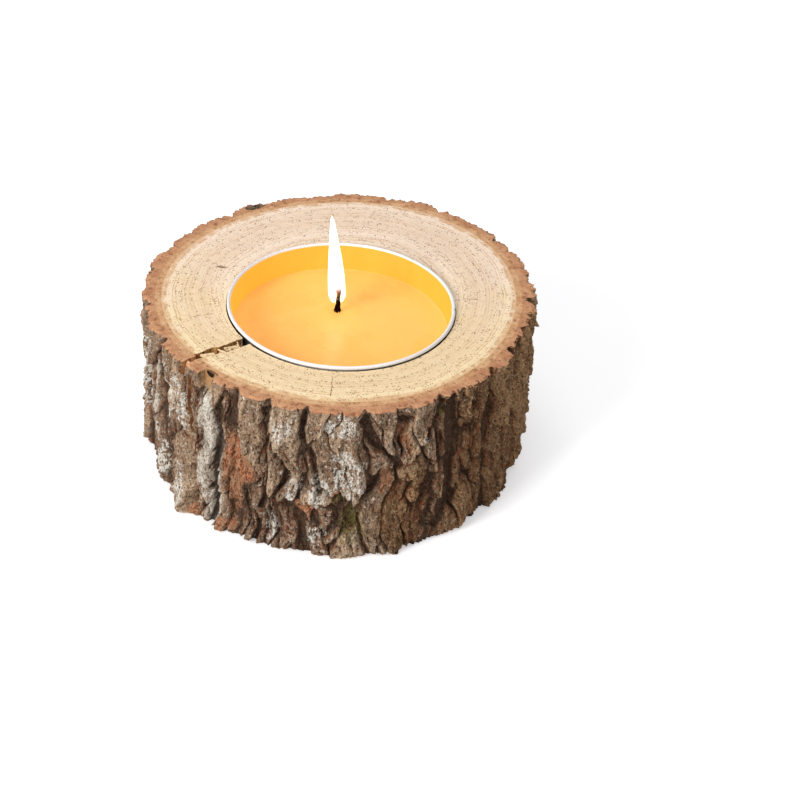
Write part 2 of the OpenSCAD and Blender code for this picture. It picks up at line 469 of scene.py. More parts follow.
def finish_mesh(bm, name, materials, body, slot, *nodes):
    """Turns a bmesh in millimetres into a finished piece that rides on a body."""
    bmesh.ops.recalc_face_normals(bm, faces=bm.faces)
    bmesh.ops.scale(bm, vec=(MM, MM, MM), verts=bm.verts)
    for face in bm.faces:
        face.smooth = True
    for edge in bm.edges:
        edge.smooth = edge.calc_face_angle(0) < SHARP_ANGLE
    mesh = bpy.data.meshes.new(name)
    bm.to_mesh(mesh)
    bm.free()
    for material in materials:
        mesh.materials.append(material)
    piece = bpy.data.objects.new(name, mesh)
    bpy.context.scene.collection.objects.link(piece)
    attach(piece, body)
    if nodes:
        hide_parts(*nodes)
    return piece


def extrude(bm, edges):
    """Extrudes a run of edges, and returns the new edges and vertices."""
    made = bmesh.ops.extrude_edge_only(bm, edges=edges)["geom"]
    new_edges = [item for item in made if isinstance(item, bmesh.types.BMEdge)]
    return new_edges, [item for item in made if isinstance(item, bmesh.types.BMVert)]


def pull_down(bm, edges, drop):
    """Extrudes a run of edges straight down, and returns the new edges."""
    edges, verts = extrude(bm, edges)
    bmesh.ops.translate(bm, vec=(0, 0, -drop), verts=verts)
    return edges


def turned_profile(bm, points, steps):
    """A closed shell of revolution about Z through those radius and height pairs."""
    run = [bm.verts.new((radius, 0, height)) for radius, height in points]
    edges = [bm.edges.new(pair) for pair in zip(run, run[1:])]
    bmesh.ops.spin(
        bm,
        geom=run + edges,
        axis=(0, 0, 1),
        cent=(0, 0, 0),
        angle=math.tau,
        steps=steps,
        use_merge=True,
    )
    bmesh.ops.remove_doubles(bm, verts=bm.verts, dist=0.0005)


def swept_tube(bm, stations, sides):
    """A closed tube through stations of middle and radius, with that many sides."""
    middle, radius = stations[0]
    ring = bmesh.ops.create_circle(bm, segments=sides, radius=radius, cap_ends=True)["verts"]
    bmesh.ops.translate(bm, vec=middle, verts=ring)
    edges = list({edge for vert in ring for edge in vert.link_edges})
    for (low, low_radius), (high, high_radius) in zip(stations, stations[1:]):
        edges, verts = extrude(bm, edges)
        bmesh.ops.translate(bm, vec=-Vector(low), verts=verts)
        bmesh.ops.scale(bm, vec=(high_radius / low_radius,) * 2 + (1,), verts=verts)
        bmesh.ops.translate(bm, vec=high, verts=verts)
    bmesh.ops.contextual_create(bm, geom=edges)


# ---------------------------------------------------------------- shader helpers


def new_material(name):
    """An empty material and the tree that its nodes go in."""
    material = bpy.data.materials.new(name)
    material.use_nodes = True
    material.node_tree.nodes.clear()
    return material, material.node_tree


def put(tree, kind, **values):
    """Adds a node. A value that is a socket is linked to the input of that name."""
    node = tree.nodes.new(kind)
    sockets = {socket.name.lower().replace(" ", "_"): socket for socket in node.inputs}
    for key, value in values.items():
        if key in sockets:
            feed(tree, sockets[key], value)
        else:
            setattr(node, key, value)
    return node


def feed(tree, socket, value):
    """Links a socket to an input, or sets the input to a plain value."""
    if isinstance(value, bpy.types.NodeSocket):
        tree.links.new(value, socket)
    elif hasattr(value, "__len__") and len(value) == 3 and socket.type == "RGBA":
        socket.default_value = [*value, 1]
    else:
        socket.default_value = value


def calc(tree, operation, *values):
    """A Math node on numbers and sockets."""
    node = tree.nodes.new("ShaderNodeMath")
    node.operation = operation
    for socket, value in zip(node.inputs, values):
        feed(tree, socket, value)
    return node.outputs[0]


def times(tree, a, b):
    """The product of two numbers or sockets."""
    return calc(tree, "MULTIPLY", a, b)


def plus(tree, a, b):
    """The sum of two numbers or sockets."""
    return calc(tree, "ADD", a, b)


def scaled(tree, value, scale, start):
    """A number or socket scaled, and then added to a start."""
    return calc(tree, "MULTIPLY_ADD", value, scale, start)


def blend(tree, share, a, b, kind="MIX"):
    """A mix of two colours."""
    node = tree.nodes.new("ShaderNodeMix")
    node.data_type = "RGBA"
    node.blend_type = kind
    feed(tree, node.inputs["Factor"], share)
    sockets = [s for s in node.inputs if s.type == "RGBA"]
    feed(tree, sockets[0], a)
    feed(tree, sockets[1], b)
    return next(s for s in node.outputs if s.type == "RGBA")


def span(tree, value, low, high):
    """0 at low, 1 at high, with an easy turn at both."""
    node = tree.nodes.new("ShaderNodeMapRange")
    node.interpolation_type = "SMOOTHSTEP"
    for socket, number in zip(node.inputs, (value, low, high, 0, 1)):
        feed(tree, socket, number)
    return node.outputs[0]


def speckle(tree, place, scale, detail=3, rough=0.55, stretch=(1, 1, 1)):
    """Noise with features of about that many millimetres."""
    sized = put(tree, "ShaderNodeMapping", vector=place, scale=[1 / (scale * s) for s in stretch])
    pattern = put(
        tree,
        "ShaderNodeTexNoise",
        vector=sized.outputs[0],
        scale=1,
        detail=detail,
        roughness=rough,
    )
    return pattern.outputs[0]


def dots(tree, place, scale):
    """Distance from the nearest of many scattered dots, about that many millimetres apart."""
    sized = put(tree, "ShaderNodeMapping", vector=place, scale=(1 / scale,) * 3)
    return put(tree, "ShaderNodeTexVoronoi", vector=sized.outputs[0], scale=1).outputs["Distance"]


def millimetres(tree):
    """The piece's own place, in millimetres."""
    place = put(tree, "ShaderNodeTexCoord").outputs["Object"]
    return put(tree, "ShaderNodeMapping", vector=place, scale=(1 / MM,) * 3).outputs[0]


def axes(tree, place):
    """The three numbers of a place."""
    split = put(tree, "ShaderNodeSeparateXYZ")
    tree.links.new(place, split.inputs[0])
    return split.outputs


def attribute(tree, name):
    """A number that the mesh carries on its vertices."""
    return put(tree, "ShaderNodeAttribute", attribute_name=name).outputs["Fac"]


def surface(tree, height=None, strength=0.5, reach=0.3, **values):
    """A Principled shader on the material's output, with a bump from a height in millimetres."""
    shader = put(tree, "ShaderNodeBsdfPrincipled")
    for key, value in values.items():
        feed(tree, shader.inputs[key.replace("_", " ")], value)
    if height is not None:
        bump = put(tree, "ShaderNodeBump", strength=strength, distance=reach * MM, height=height)
        tree.links.new(bump.outputs[0], shader.inputs["Normal"])
    output = put(tree, "ShaderNodeOutputMaterial")
    tree.links.new(shader.outputs[0], output.inputs["Surface"])
    return shader


def group_tree(name, inputs, outputs):
    """A shader node group with those sockets, and its input and output nodes."""
    tree = bpy.data.node_groups.new(name, "ShaderNodeTree")
    for title, kind, default in inputs:
        made = tree.interface.new_socket(title, in_out="INPUT", socket_type="NodeSocket" + kind)
        if default is not None:
            made.default_value = default
    for title, kind in outputs:
        tree.interface.new_socket(title, in_out="OUTPUT", socket_type="NodeSocket" + kind)
    return tree, tree.nodes.new("NodeGroupInput"), tree.nodes.new("NodeGroupOutput")


def use_group(tree, name, **values):
    """Places a node group in a material with its own values."""
    node = tree.nodes.new("ShaderNodeGroup")
    node.node_tree = bpy.data.node_groups[name]
    for key, value in values.items():
        feed(tree, node.inputs[key.replace("_", " ")], value)
    return node.outputs


def grit_group():
    """Fine grit in two sizes: a height, and a mask of its dark grains."""
    if "Fine grit" in bpy.data.node_groups:
        return
    tree, given, out = group_tree(
        "Fine grit",
        [("Place", "Vector", None), ("Size", "Float", 0.6)],
        [("Height", "Float"), ("Grains", "Float")],
    )
    sized = put(tree, "ShaderNodeVectorMath", operation="DIVIDE")
    tree.links.new(given.outputs["Place"], sized.inputs[0])
    combined = put(tree, "ShaderNodeCombineXYZ")
    for axis in combined.inputs:
        tree.links.new(given.outputs["Size"], axis)
    tree.links.new(combined.outputs[0], sized.inputs[1])
    coarse = speckle(tree, sized.outputs[0], 1.7, 4, 0.62)
    fine = speckle(tree, sized.outputs[0], 0.5, 2, 0.5)
    height = plus(tree, times(tree, coarse, 0.7), times(tree, fine, 0.3))
    tree.links.new(height, out.inputs["Height"])
    tree.links.new(span(tree, fine, 0.56, 0.68), out.inputs["Grains"])


def patchy_group():
    """Two colours in soft cloudy patches, with a third in small flecks."""
    if "Patchy tint" in bpy.data.node_groups:
        return
    tree, given, out = group_tree(
        "Patchy tint",
        [
            ("Place", "Vector", None),
            ("First", "Color", None),
            ("Second", "Color", None),
            ("Fleck", "Color", None),
            ("Flecks", "Float", 0.5),
        ],
        [("Color", "Color")],
    )
    place = given.outputs["Place"]
    clouds = span(tree, speckle(tree, place, 5, 5, 0.65), 0.35, 0.65)
    flecks = span(tree, speckle(tree, place, 0.8, 2, 0.5), 0.55, 0.7)
    amount = times(tree, flecks, given.outputs["Flecks"])
    ground = blend(tree, clouds, given.outputs["First"], given.outputs["Second"])
    tree.links.new(blend(tree, amount, ground, given.outputs["Fleck"]), out.inputs["Color"])


def rings_group():
    """Growth rings of uneven width: a fine one, the dark late wood, broad bands and the depth."""
    if "Growth rings" in bpy.data.node_groups:
        return
    log = bpy.context.scene.log_sizes
    tree, given, out = group_tree(
        "Growth rings",
        [("Place", "Vector", None)],
        [("Ring", "Float"), ("Late wood", "Float"), ("Band", "Float"), ("Depth", "Float")],
    )
    east, north, _ = axes(tree, given.outputs["Place"])
    squares = plus(tree, times(tree, east, east), times(tree, north, north))
    radius = calc(tree, "SQRT", squares)
    angle = calc(tree, "ARCTAN2", north, east)

    def wave(lobes, towards, height):
        inner = scaled(tree, angle, lobes, -math.radians(lobes * towards))
        return times(tree, calc(tree, "COSINE", inner), height / MM)

    edge = plus(tree, wave(2, OVAL_DIR, log.oval), wave(3, LOBE_DIR, log.lobe))
    edge = plus(tree, edge, log.wood / MM)
    depth = times(tree, calc(tree, "DIVIDE", radius, edge), log.wood / MM)
    stray = calc(tree, "SUBTRACT", speckle(tree, given.outputs["Place"], 14, 2, 0.5), 0.5)
    fine = calc(tree, "SUBTRACT", speckle(tree, given.outputs["Place"], 2.5, 2, 0.5), 0.5)
    bends = plus(tree, times(tree, stray, 2.2), times(tree, fine, 0.25))
    bent = plus(tree, depth, bends)

    def across_rings(spacing, detail):
        pattern = put(
            tree,
            "ShaderNodeTexNoise",
            noise_dimensions="1D",
            w=calc(tree, "DIVIDE", bent, spacing),
            scale=1,
            detail=detail,
            roughness=0.6,
        )
        return pattern.outputs[0]

    tree.links.new(across_rings(1.1, 3), out.inputs["Ring"])
    tree.links.new(span(tree, across_rings(0.62, 2), 0.5, 0.64), out.inputs["Late wood"])
    tree.links.new(span(tree, across_rings(3.6, 3), 0.38, 0.64), out.inputs["Band"])
    tree.links.new(bent, out.inputs["Depth"])


def sawn_wood():
    """The sawn face of the wood: fine rings, pores along them, checks and a knot."""
    grit_group()
    rings_group()
    tones = bpy.context.scene.log_colours
    material, tree = new_material("sawn_wood")
    place = millimetres(tree)
    rings = use_group(tree, "Growth rings", Place=place)
    grit = use_group(tree, "Fine grit", Place=place, Size=0.4)
    late = rings["Late wood"]

    # The wood turns from cream in front to a pinker tone at the back.
    drift = scaled(tree, speckle(tree, place, 11, 3, 0.6), 60, axes(tree, place)[1])
    broad = span(tree, drift, 0, 55)
    wood = blend(tree, broad, tones.wood[:], linear("#fde8d3"))
    broken = span(tree, speckle(tree, place, 2.4, 4, 0.7), 0.36, 0.62)
    amount = times(tree, late, scaled(tree, broken, 0.46, 0.1))
    amount = plus(tree, amount, times(tree, rings["Band"], 0.16))
    wood = blend(tree, amount, wood, tones.ring[:])
    outer, inner = span(tree, rings["Depth"], 43.5, 39), span(tree, rings["Depth"], 30, 36)
    heart = times(tree, outer, inner)
    wood = blend(tree, times(tree, heart, 0.22), wood, linear("#dcb892"))
    # The youngest wood, against the bark, is darker.
    bast = span(tree, scaled(tree, broken, 1.2, rings["Depth"]), 44.9, 46.6)
    wood = blend(tree, times(tree, bast, 0.8), wood, linear("#dcae80"))

    # Pores in arcs along the rings, and then the checks and the knot.
    pore = span(tree, dots(tree, place, 0.48), 0.44, 0.28)
    thinned = span(tree, speckle(tree, place, 1.3, 4, 0.75), 0.48, 0.55)
    along = span(tree, rings["Ring"], 0.42, 0.56)
    pore = times(tree, pore, times(tree, thinned, scaled(tree, along, 0.75, 0.25)))
    wood = blend(tree, times(tree, pore, 0.9), wood, linear("#6e4324"))

    for direction, near, far in CHECKS:
        line = check_mask(tree, place, direction, near, far)
        pore = calc(tree, "MAXIMUM", pore, line)
        wood = blend(tree, times(tree, line, 0.8), wood, linear("#6b4526"))
    knot = knot_mask(tree, place)
    wood = blend(tree, times(tree, knot, 0.85), wood, linear("#7b5739"))
    wood = blend(tree, times(tree, grit["Grains"], 0.16), wood, linear("#b98c5c"))

    height = plus(tree, times(tree, grit["Height"], 0.5), times(tree, late, 0.25))
    height = calc(tree, "SUBTRACT", height, times(tree, pore, 0.5))
    surface(
        tree,
        height=height,
        strength=0.4,
        reach=0.15,
        Base_Color=wood,
        Roughness=scaled(tree, grit["Height"], 0.2, 0.62),
        Specular_IOR_Level=0.25,
    )
    return material


def check_mask(tree, place, direction, near, far):
    """A hairline check in the wood, along one direction between two radii."""
    turned = put(
        tree,
        "ShaderNodeVectorRotate",
        rotation_type="Z_AXIS",
        vector=place,
        angle=-math.radians(direction),
    )
    out, side, _ = axes(tree, turned.outputs[0])
    stray = times(tree, calc(tree, "SUBTRACT", speckle(tree, place, 1.6, 2), 0.5), 0.9)
    across = calc(tree, "ABSOLUTE", plus(tree, side, stray))
    thin = span(tree, across, 0.17, 0.05)
    inside = times(tree, span(tree, out, near, near + 1), span(tree, out, far, far - 1))
    broken = span(tree, speckle(tree, place, 0.9, 1), 0.36, 0.5)
    return times(tree, times(tree, thin, inside), broken)


def knot_mask(tree, place):
    """A small dark knot in the wood, back on the left."""
    moved = put(tree, "ShaderNodeMapping", vector=place, location=(31.5, -10.3, -SLICE_H)).outputs[0]
    flat = put(tree, "ShaderNodeMapping", vector=moved, scale=(0.5, 1.25, 0.3)).outputs[0]
    reach = put(tree, "ShaderNodeVectorMath", operation="LENGTH")
    tree.links.new(flat, reach.inputs[0])
    ragged = scaled(tree, speckle(tree, place, 0.7, 4, 0.7), 2.4, reach.outputs["Value"])
    return span(tree, ragged, 2.2, 1.5)


def torn_wood():
    """Raw torn wood in the crack, with long fibres."""
    grit_group()
    patchy_group()
    tones = bpy.context.scene.log_colours
    material, tree = new_material("torn_wood")
    place = millimetres(tree)
    fibre = speckle(tree, place, 0.5, 3, 0.6, (1, 1, 14))
    tint = use_group(
        tree, "Patchy tint", Place=place, First=tones.torn[:], Second=linear("#b07a3c"),
        Fleck=linear("#f3dcae"), Flecks=0.7,
    )["Color"]
    tint = blend(tree, span(tree, fibre, 0.6, 0.35), tint, linear("#7d4c22"))
    # Darker further down the crack: painted shade.
    height = scaled(tree, fibre, 3, axes(tree, place)[2])
    deep = span(tree, height, SLICE_H - 3, SLICE_H - 12)
    tint = blend(tree, times(tree, deep, 0.6), tint, linear("#5c3818"))
    surface(
        tree,
        height=fibre,
        strength=0.8,
        reach=0.3,
        Base_Color=tint,
        Roughness=0.85,
        Specular_IOR_Level=0.2,
    )
    return material


def cut_bark(name, first, second, fleck):
    """Bark where the saw went through it."""
    grit_group()
    patchy_group()
    material, tree = new_material(name)
    place = millimetres(tree)
    grit = use_group(tree, "Fine grit", Place=place, Size=0.5)
    tint = use_group(
        tree, "Patchy tint", Place=place, First=first, Second=second, Fleck=fleck, Flecks=0.6
    )["Color"]
    blots = speckle(tree, place, 1.6, 5, 0.75)
    dark = times(tree, span(tree, blots, 0.5, 0.36), 0.6)
    tint = blend(tree, dark, tint, linear("#8a5134"), "MULTIPLY")
    tint = blend(tree, times(tree, span(tree, blots, 0.52, 0.66), 0.5), tint, first, "LIGHTEN")
    surface(
        tree,
        height=grit["Height"],
        strength=0.9,
        reach=0.4,
        Base_Color=tint,
        Roughness=0.85,
        Specular_IOR_Level=0.2,
    )
    return material


def torn_bark():
    """Dark raw bark inside the crack."""
    made = bpy.data.materials.get("torn_bark")
    return made or cut_bark("torn_bark", linear("#8a5633"), linear("#b07a4c"), linear("#4c2814"))


def weathered_bark():
    """The outside of the bark: grey-brown plates, dark furrows, lichen, scars and moss."""
    grit_group()
    patchy_group()
    tones = bpy.context.scene.log_colours
    material, tree = new_material("weathered_bark")
    place = millimetres(tree)
    grit = use_group(tree, "Fine grit", Place=place, Size=0.5)
    relief = attribute(tree, "relief")
    tone = attribute(tree, "tone")
    fibre = speckle(tree, place, 0.5, 4, 0.65, (1, 1, 4))
    crumbs = speckle(tree, place, 0.55, 3, 0.7, (1, 1, 1.5))
    ragged = times(tree, calc(tree, "SUBTRACT", speckle(tree, place, 1.5, 4, 0.65), 0.5), 1.2)

    def worn(name, low, high, reach=1):
        return span(tree, scaled(tree, ragged, reach, attribute(tree, name)), low, high)

    def tinted(ground, share, amount, tint):
        return blend(tree, times(tree, share, amount), ground, tint)

    # Grey-brown cork, whose plates differ in tone, with dark fibres and pale grains.
    tint = use_group(
        tree, "Patchy tint", Place=place, First=tones.bark[:], Second=linear("#dbb996"),
        Fleck=linear("#503b2c"), Flecks=0.8,
    )["Color"]
    tint = tinted(tint, span(tree, tone, 0.48, 0.1), 0.55, linear("#7b5d46"))
    tint = tinted(tint, span(tree, tone, 0.6, 0.9), 0.5, linear("#d6bea4"))
    tint = tinted(tint, span(tree, fibre, 0.52, 0.36), 0.6, linear("#453022"))
    stray = span(tree, speckle(tree, place, 2.2, 3, 0.6, (1, 1, 2.5)), 0.58, 0.7)
    tint = tinted(tint, stray, 0.45, linear("#b0704a"))
    tint = tinted(tint, span(tree, grit["Height"], 0.54, 0.62), 0.8, linear("#ecdfcd"))
    # The right side of the bark is darkened here: painted shade.
    damp = span(tree, attribute(tree, "damp"), 0, 1)
    tint = blend(tree, damp, tint, linear("#dcc9ae"), "MULTIPLY")

    # Bleached strips, rusty furrow edges and dark furrows.
    pale = worn("pale", 0.35, 0.6)
    bleached = blend(tree, span(tree, crumbs, 0.36, 0.5), linear("#b3a593"), tones.pale[:])
    soiled = span(tree, speckle(tree, place, 1.7, 4, 0.7, (1, 1, 2.5)), 0.5, 0.6)
    bleached = blend(tree, times(tree, soiled, 0.7), bleached, linear("#94775e"))
    tint = tinted(tint, pale, 0.9, bleached)
    edges = times(tree, span(tree, relief, 0.75, 0.5), span(tree, ragged, -0.1, 0.15))
    tint = tinted(tint, edges, 0.7, linear("#9a5532"))
    tint = tinted(tint, span(tree, relief, 0.6, 0.12), 0.8, tones.shade[:])
    proud = times(tree, pale, span(tree, relief, 0.25, 0.6))
    tint = tinted(tint, proud, 0.55, bleached)

    # Scars where a flake has come off, and dark pits between the crumbs of cork.
    scar_tint = blend(tree, span(tree, fibre, 0.42, 0.58), tones.rust[:], linear("#d9ab85"))
    scar_tint = blend(tree, span(tree, crumbs, 0.5, 0.38), scar_tint, linear("#8a4424"))
    peeled = span(tree, speckle(tree, place, 2.8, 3, 0.6, (1, 1, 2)), 0.46, 0.56)
    scar_tint = blend(tree, times(tree, peeled, 0.65), scar_tint, linear("#b98c6a"))
    tint = tinted(tint, worn("rust", 0.2, 0.8, 0.9), 0.85, scar_tint)
    pits = times(tree, span(tree, crumbs, 0.45, 0.35), scaled(tree, pale, -0.7, 1))
    tint = tinted(tint, pits, 0.85, linear("#2a1d13"))

    # Moss low down, then lichen in crisp flakes, and the raw bark of the beetle's gallery with a
    # painted shadow in its hole.
    tuft = times(tree, worn("moss", 0.4, 0.9), span(tree, crumbs, 0.46, 0.56))
    tint = tinted(tint, tuft, 0.75, tones.moss[:])
    clumps = calc(tree, "SUBTRACT", speckle(tree, place, 2.6, 3, 0.6), 0.5)
    spread = scaled(tree, attribute(tree, "lichen"), 0.2, -0.06)
    for mask, share in ((relief, 0.05), (attribute(tree, "damp"), -0.09), (clumps, 0.66)):
        spread = plus(tree, spread, times(tree, mask, share))
    flakes = speckle(tree, place, 0.9, 5, 0.8)
    lichen = span(tree, plus(tree, flakes, spread), 0.65, 0.69)
    lichen = times(tree, lichen, span(tree, crumbs, 0.38, 0.5))
    tint = tinted(tint, lichen, 0.92, tones.lichen[:])
    # Tan raw bark, near-black where the relief is low: painted shadow down the hole.
    raw = blend(tree, span(tree, relief, 0.7, 0.2), linear("#cfa06c"), linear("#2a1206"))
    tint = blend(tree, attribute(tree, "fresh"), tint, raw)

    height = plus(tree, grit["Height"], times(tree, fibre, 0.6))
    height = plus(tree, height, times(tree, crumbs, 1.1))
    surface(
        tree,
        height=height,
        strength=1.0,
        reach=1.3,
        Base_Color=tint,
        Roughness=scaled(tree, grit["Height"], 0.15, 0.78),
        Specular_IOR_Level=0.2,
    )
    return material


# ---------------------------------------------------------------- the log's pieces


def edge_in_ray(direction):
    """Distance from the bore's middle to the wood's edge, along a direction from the bore."""
    ray = polar(1, direction)
    middle = Vector((CUP_MIDDLE.x, CUP_MIDDLE.y, 0))
    reach = bpy.context.scene.log_sizes.wood / MM
    for _ in range(12):
        point = middle + ray * reach
        reach += wood_edge(math.degrees(math.atan2(point.y, point.x))) - point.length
    return reach


def crack_width(height, along):
    """Width of the drying crack at a height, and at a distance from the bore's middle."""
    log = bpy.context.scene.log_sizes
    ragged = 1 + 0.22 * grain(Vector((along, 3, height * 0.4)), 2.4, 7, 3)
    return log.crack / MM * ragged * smooth(CUP_FLOOR_Z, SLICE_H - 8, height)


def open_crack(bm, side_layer):
    """Parts the wood along its crack. The layer holds +1 and -1 on the crack's two sides."""
    log = bpy.context.scene.log_sizes
    ray = polar(1, CRACK_DIR)
    across_ray = polar(1, CRACK_DIR + 90)
    middle = Vector((CUP_MIDDLE.x, CUP_MIDDLE.y, 0))
    for vert in bm.verts:
        to = vert.co - middle
        along = to.dot(ray)
        across = to.dot(across_ray)
        if along < 0 or abs(across) > 30:
            continue
        side = 1 if vert[side_layer] > 0 else -1
        near = math.exp(-abs(across) / 5)
        part = side * crack_width(vert.co.z, along) / 2 * near
        if abs(across) < 1.2 and vert.co.z > CUP_FLOOR_Z + 0.5:
            fibres = Vector((vert.co.x, vert.co.y, vert.co.z * 0.25))
            torn = 0.6 * abs(grain(fibres, 2.6, 17 + side, 2))
            torn += 0.3 * abs(grain(fibres, 0.8, 27 + side, 3))
            torn *= 0.5 + 0.5 * smooth(SLICE_H, SLICE_H - 1.2, vert.co.z)
            part += side * torn * smooth(1.2, 0, abs(across))
        step = log.crack_step / MM * smooth(CRACK_STEP_AT - 0.6, CRACK_STEP_AT + 0.6, along)
        part -= step * math.exp(-abs(across) / 8)
        vert.co += across_ray * part


def build_wood():
    """The sawn wood, bored for the cup and split by its crack."""
    columns, rows = ((520, 44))
    bm, (side,) = start_mesh("side")
    bmesh.ops.create_grid(bm, x_segments=columns, y_segments=rows, size=1)
    bore = bpy.context.scene.log_sizes.bore / MM
    middle = Vector((CUP_MIDDLE.x, CUP_MIDDLE.y, SLICE_H))
    for vert in bm.verts:
        share = (vert.co.x + 1) / 2
        out = (vert.co.y + 1) / 2
        vert[side] = 1 if share < 0.5 else -1
        # Columns stand closer together near the crack.
        crowded = share - 0.75 * math.sin(math.tau * share) / math.tau
        direction = CRACK_DIR + 360 * crowded
        reach = bore + (edge_in_ray(direction) - bore) * out
        vert.co = middle + polar(reach, direction)
    levels = 26
    rim = [edge for edge in bm.edges if edge.is_boundary]
    drop = (SLICE_H - CUP_FLOOR_Z) / levels
    for _ in range(levels):
        rim = pull_down(bm, rim, drop)
    floor = [v for v in bm.verts if v.co.z < CUP_FLOOR_Z + drop / 2]
    bmesh.ops.remove_doubles(bm, verts=floor, dist=0.001)
    loops = [edge for edge in bm.edges if edge.is_boundary]
    inner = [e for e in loops if (e.verts[0].co.xy - middle.xy).length < bore + 0.5]
    outer = [e for e in loops if (e.verts[0].co.xy - middle.xy).length >= bore + 0.5]
    bmesh.ops.contextual_create(bm, geom=inner)
    for _ in range(6):
        outer = pull_down(bm, outer, CUP_FLOOR_Z / 6)
    bmesh.ops.contextual_create(bm, geom=outer)
    open_crack(bm, side)
    for vert in bm.verts:
        if vert.co.z > SLICE_H - 0.01:
            vert.co.z += 0.07 * grain(vert.co, 1.4, 3, 3) - 0.02
    bm.normal_update()
    wood_radius = bpy.context.scene.log_sizes.wood / MM
    for face in bm.faces:
        place = face.calc_center_median()
        to = place - middle
        along, across = to.dot(polar(1, CRACK_DIR)), to.dot(polar(1, CRACK_DIR + 90))
        in_crack = abs(across) < 2.6 and along > bore + 0.2 and place.z > CUP_FLOOR_Z
        at_edge = place.xy.length > wood_radius - 3
        face.material_index = int(abs(face.normal.z) < 0.6 and (in_crack or at_edge))
    add_splinters(bm)
    finishes = [sawn_wood(), torn_wood()]
    return finish_mesh(bm, "sawn_log", finishes, "holder", "sawn_wood", "wood_disc")


def add_splinters(bm):
    """Torn slivers of wood that bridge the crack."""
    # Place along the crack, depth, length, turn and width of each.
    slivers = [
        (30.5, 1.2, 2.9, 30, 0.4), (31.5, 0.6, 3.2, -20, 0.5), (32.6, 1.6, 3.0, 14, 0.5),
        (33.8, 0.5, 3.4, 70, 0.9), (35.4, 1.0, 3.0, 80, 0.8), (36.4, 0.5, 3.0, 16, 0.6),
        (38.4, 2.2, 2.8, -30, 0.5), (40.2, 0.7, 3.4, 64, 0.9), (41.6, 1.2, 3.0, 80, 0.8),
        (42.6, 3.2, 2.8, 20, 0.6), (31.2, 3.0, 3.6, 8, 1.1), (34.4, 2.8, 4.2, -6, 1.3),
        (37.6, 2.6, 4.2, 5, 1.4), (40.6, 2.2, 4.2, -8, 1.5), (43.2, 1.8, 3.8, 6, 1.5),
        (44.6, 1.4, 2.8, 70, 0.9), (45.6, 1.4, 3.4, 5, 1.6),
    ]
    log = bpy.context.scene.log_sizes
    for along, deep, long, lean, wide in slivers:
        count = len(bm.verts)
        stations = [(Vector((0, 0, long * (s / 5 - 0.5))), wide * (1 - 0.13 * s)) for s in range(6)]
        swept_tube(bm, stations, 6)
        bm.verts.ensure_lookup_table()
        verts = bm.verts[count:]
        for vert in verts:
            vert.co.x *= 0.5
            vert.co += 0.22 * noise.noise_vector(vert.co / 0.8 + Vector((along, 0, 0)))
        step = log.crack_step / MM if along > CRACK_STEP_AT else 0
        place = Matrix.Translation((CUP_MIDDLE.x, CUP_MIDDLE.y, SLICE_H - deep))
        place @= Matrix.Rotation(math.radians(CRACK_DIR), 4, "Z")
        place @= Matrix.Translation((along, -step, 0))
        tilt = Matrix.Rotation(math.radians(lean), 4, "Z")
        tilt @= Matrix.Rotation(math.radians(84), 4, "X")
        bmesh.ops.transform(bm, matrix=place @ tilt, verts=verts)


def bark_crack(direction, height):
    """Sideways opening of the bark's crack, in millimetres, near the seam."""
    away = turn(direction, SEAM_DIR) * DEGREE
    width = 0.5 * bpy.context.scene.log_sizes.crack / MM * smooth(14, SLICE_H - 12, height)
    width *= 1 + 0.25 * grain(Vector((0, 0, height)), 2.5, 13, 2)
    return width / 2 * math.exp(-abs(away) / 4)


def ring_mesh(start, end, columns, profile):
    """A closed strip of bark between two directions. The profile gives the place and the finish
    of each of its columns and rows."""
    bm, slots = start_mesh(*profile.layers)
    rows = profile.rows
    bmesh.ops.create_grid(bm, x_segments=columns, y_segments=rows, size=1)
    index = {}
    for vert in bm.verts:
        column = round((vert.co.x + 1) / 2 * columns)
        row = round((vert.co.y + 1) / 2 * rows) % rows
        if (column, row) not in index:
            direction = start + (end - start) * column / columns
            index[column, row] = profile.at(direction, row, column, columns)
        vert.co, finish = index[column, row]
        for slot, layer in zip(slots, profile.layers):
            vert[slot] = finish[layer]
    bmesh.ops.remove_doubles(bm, verts=bm.verts, dist=0.0008)
    ends = [edge for edge in bm.edges if edge.is_boundary]
    bmesh.ops.edgeloop_fill(bm, edges=ends)
    return bm


class Profile:
    """Rows round a section of bark: up its outside, in over the cut and down the inside."""

    layers = ()

    def __init__(self, outside, cut, inside, under):
        self.outside = outside
        self.cut = cut
        self.inside = inside
        self.under = under
        self.rows = outside + cut + inside + under

    def step(self, row):
        """Height of a row, and how far out through the bark it lies, from 0 to 1."""
        if row <= self.outside:
            return SLICE_H * row / self.outside, 1
        row -= self.outside
        if row <= self.cut:
            return SLICE_H, 1 - row / self.cut
        row -= self.cut
        if row <= self.inside:
            return SLICE_H * (1 - row / self.inside), 0
        return 0, (row - self.inside) / self.under


